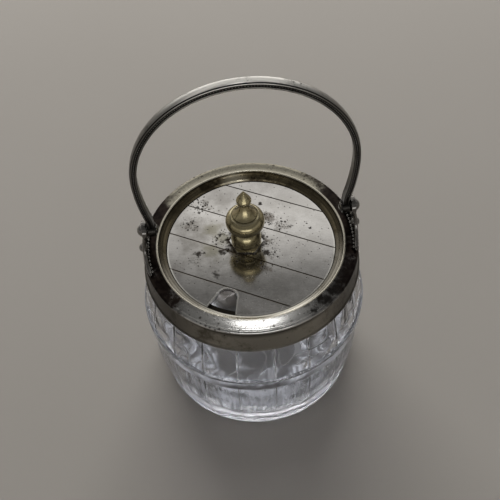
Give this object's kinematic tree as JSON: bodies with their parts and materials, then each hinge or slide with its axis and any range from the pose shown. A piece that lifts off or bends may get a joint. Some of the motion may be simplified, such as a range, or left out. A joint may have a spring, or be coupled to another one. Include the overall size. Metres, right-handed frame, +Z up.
{
  "type": "glass sugar barrel with swing handle",
  "caption": "Moulded glass barrel jar with a plated collar, a drop-in lid with spoon notch and turned finial, and an upright swing bail handle on cast ears.",
  "frame": {"origin": "centre of the jar's base, on the table", "axes": "+Z up along the jar's axis, +X along the bail handle's pivot axis to the right ear, -Y to the front, where the lid's spoon notch is"},
  "size_m": [0.1106, 0.1106, 0.183],
  "materials": {
    "clear_glass": "clear, fire polished",
    "plaster": "matt",
    "silver_plate": "worn silver plate",
    "worn_plate": "dull, plate worn to the base metal",
    "dark_plate": "blackened silver plate",
    "antique_brass": "polished, aged"
  },
  "bodies": {
    "jar": {"glass_jar": "clear_glass", "plaster_bed": "plaster", "collar_band": "worn_plate", "rim_ring": "silver_plate", "lid_seat": "worn_plate", "left_ear": "dark_plate", "right_ear": "dark_plate", "left_rivet": "silver_plate", "right_rivet": "silver_plate"},
    "bail": {"bail_handle": "dark_plate"},
    "lid": {"lid_plate": "silver_plate", "finial_washer": "silver_plate", "finial": "antique_brass", "finial_nut": "antique_brass"}
  },
  "joints": [
    {"name": "bail_swing", "type": "hinge", "parent": "jar", "child": "bail", "pos_m": [0, 0, 0.1062], "axis": [1, 0, 0], "range_deg": [-110, 110]},
    {"name": "lid_lift", "type": "slide", "parent": "jar", "child": "lid", "axis": [0, 0, 1], "range_m": [0, 0.05]}
  ]
}
